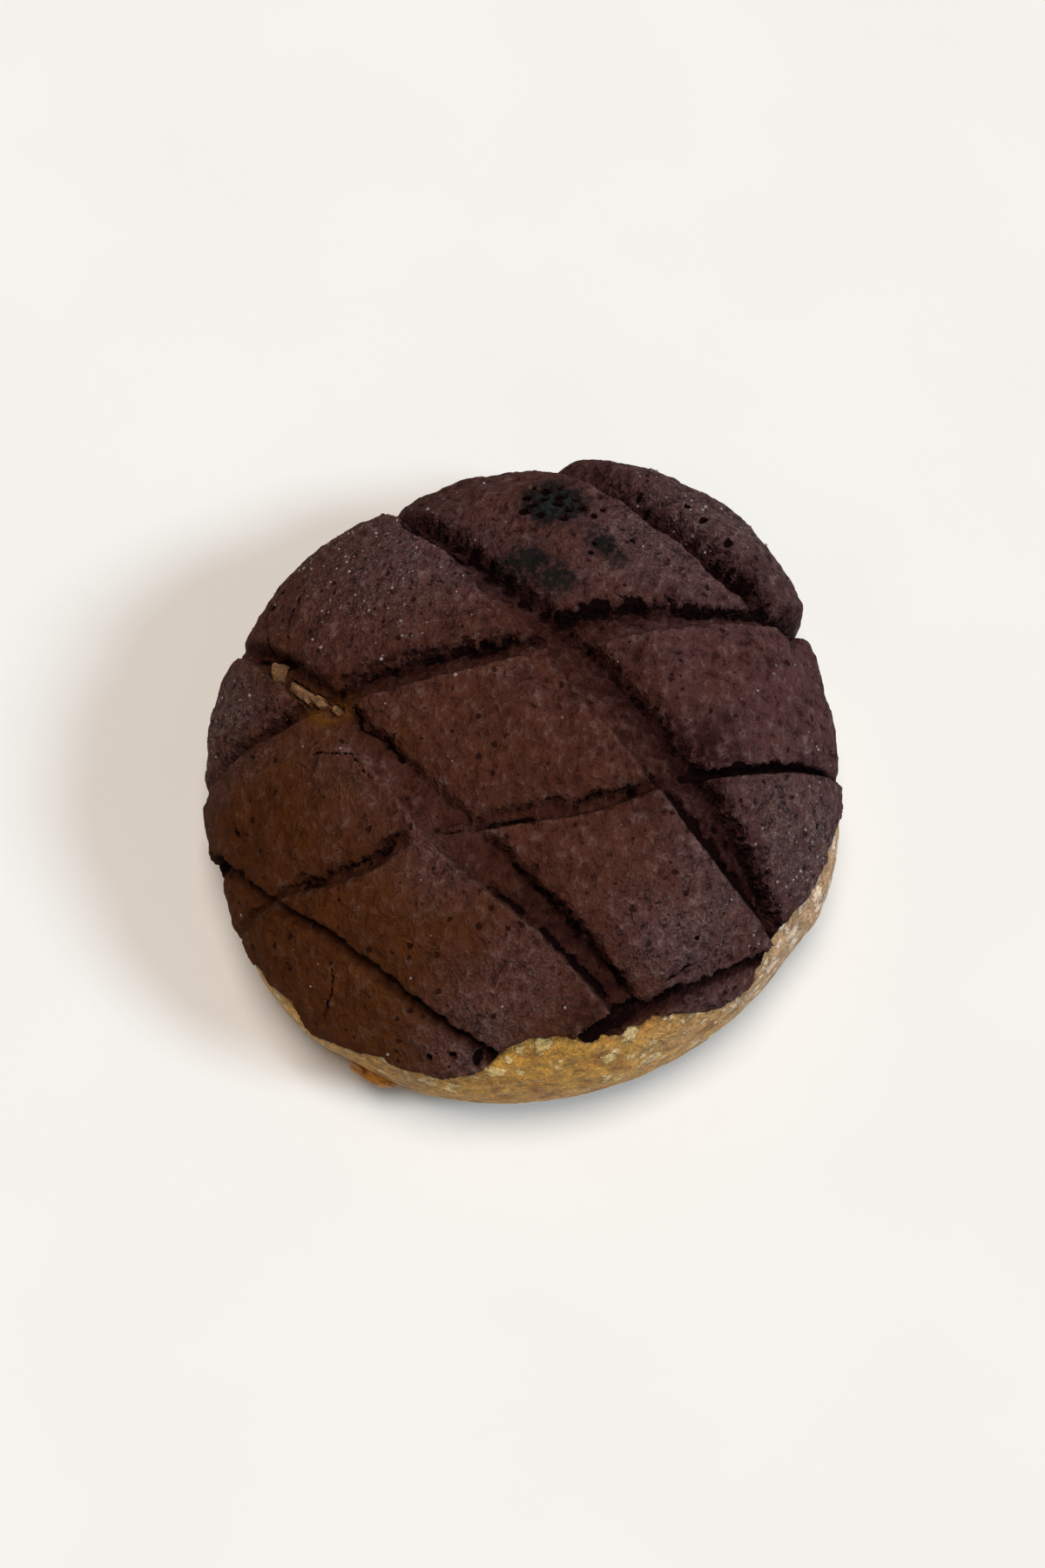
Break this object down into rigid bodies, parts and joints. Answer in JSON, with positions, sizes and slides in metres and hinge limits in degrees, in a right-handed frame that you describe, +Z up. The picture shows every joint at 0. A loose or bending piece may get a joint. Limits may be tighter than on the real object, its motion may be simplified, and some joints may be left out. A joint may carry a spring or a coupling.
{
  "type": "melon pan bun",
  "caption": "Round sweet bun with a flat base: pale bread under a thick dark cookie crust scored into a skewed lattice, torn at one side, with a bare band of bread at the front.",
  "frame": {"origin": "on the table below the middle of the bun's bounding box", "axes": "+Z up out of the crust; -Y towards the bare band of bread; +X to the right of it"},
  "size_m": [0.1037, 0.108, 0.0462],
  "materials": {
    "bread": null,
    "cookie_crust": "dark purple-brown cookie dough crust, matte, pitted and crazed, with a grey bloom and sugar grains",
    "sugar_bead": "glossy amber bead of baked sugar"
  },
  "bodies": {
    "root": {"bread": "bread", "cookie_crust": "cookie_crust", "sugar_bead": "sugar_bead"}
  },
  "joints": []
}
